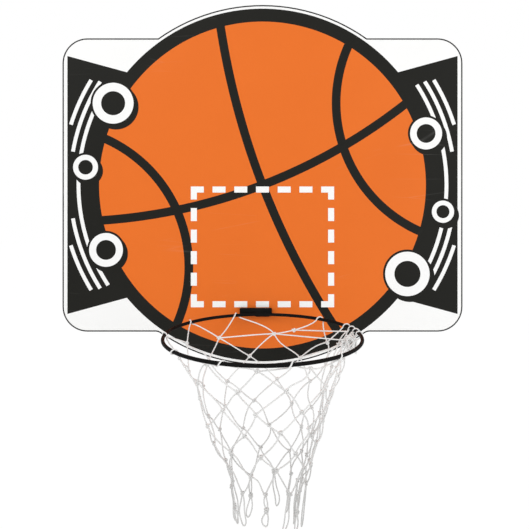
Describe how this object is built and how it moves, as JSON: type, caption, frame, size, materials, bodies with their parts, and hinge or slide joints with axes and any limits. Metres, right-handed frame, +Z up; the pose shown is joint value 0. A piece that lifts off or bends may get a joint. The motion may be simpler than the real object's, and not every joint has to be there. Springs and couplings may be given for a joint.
{
  "type": "basketball backboard",
  "caption": "Wall-hung backboard with a ball-shaped outline above and below, a printed face, a fixed wire hoop and a knotted cord net that swings.",
  "frame": {"origin": "middle of the printed ball, on the board's back plane where it lies against the wall", "axes": "+Z up, +Y into the wall, so the printed face and the hoop look along -Y; +X to the right as seen from the front"},
  "size_m": [0.45, 0.207, 0.5251],
  "materials": {
    "board_core": "matte",
    "face_sheet": "satin",
    "edge_strip": "matte",
    "black_steel": "satin",
    "zinc_steel": "satin",
    "net_cord": "matte"
  },
  "bodies": {
    "board": {"panel": "board_core", "face_print": "face_sheet", "edge_band": "edge_strip", "hoop": "black_steel", "hoop_bar": "black_steel", "hoop_welds": "black_steel", "bar_screws": "zinc_steel", "bar_washers": "zinc_steel", "hanger_left": "zinc_steel", "hanger_right": "zinc_steel", "hanger_screws": "zinc_steel", "net_ring_loops": "net_cord", "net_upper": "net_cord"},
    "net_middle": {"net_middle": "net_cord"},
    "net_tail": {"net_tail": "net_cord"}
  },
  "joints": [
    {"name": "net_swing", "type": "hinge", "parent": "board", "child": "net_middle", "pos_m": [0, -0.1113, -0.179], "axis": [1, 0, 0], "range_deg": [-20, 20], "deforming": ["net_middle"]},
    {"name": "tail_swing", "type": "hinge", "parent": "net_middle", "child": "net_tail", "pos_m": [0, -0.1113, -0.221], "axis": [0, 1, 0], "range_deg": [-28, 28], "deforming": ["net_tail"]}
  ]
}
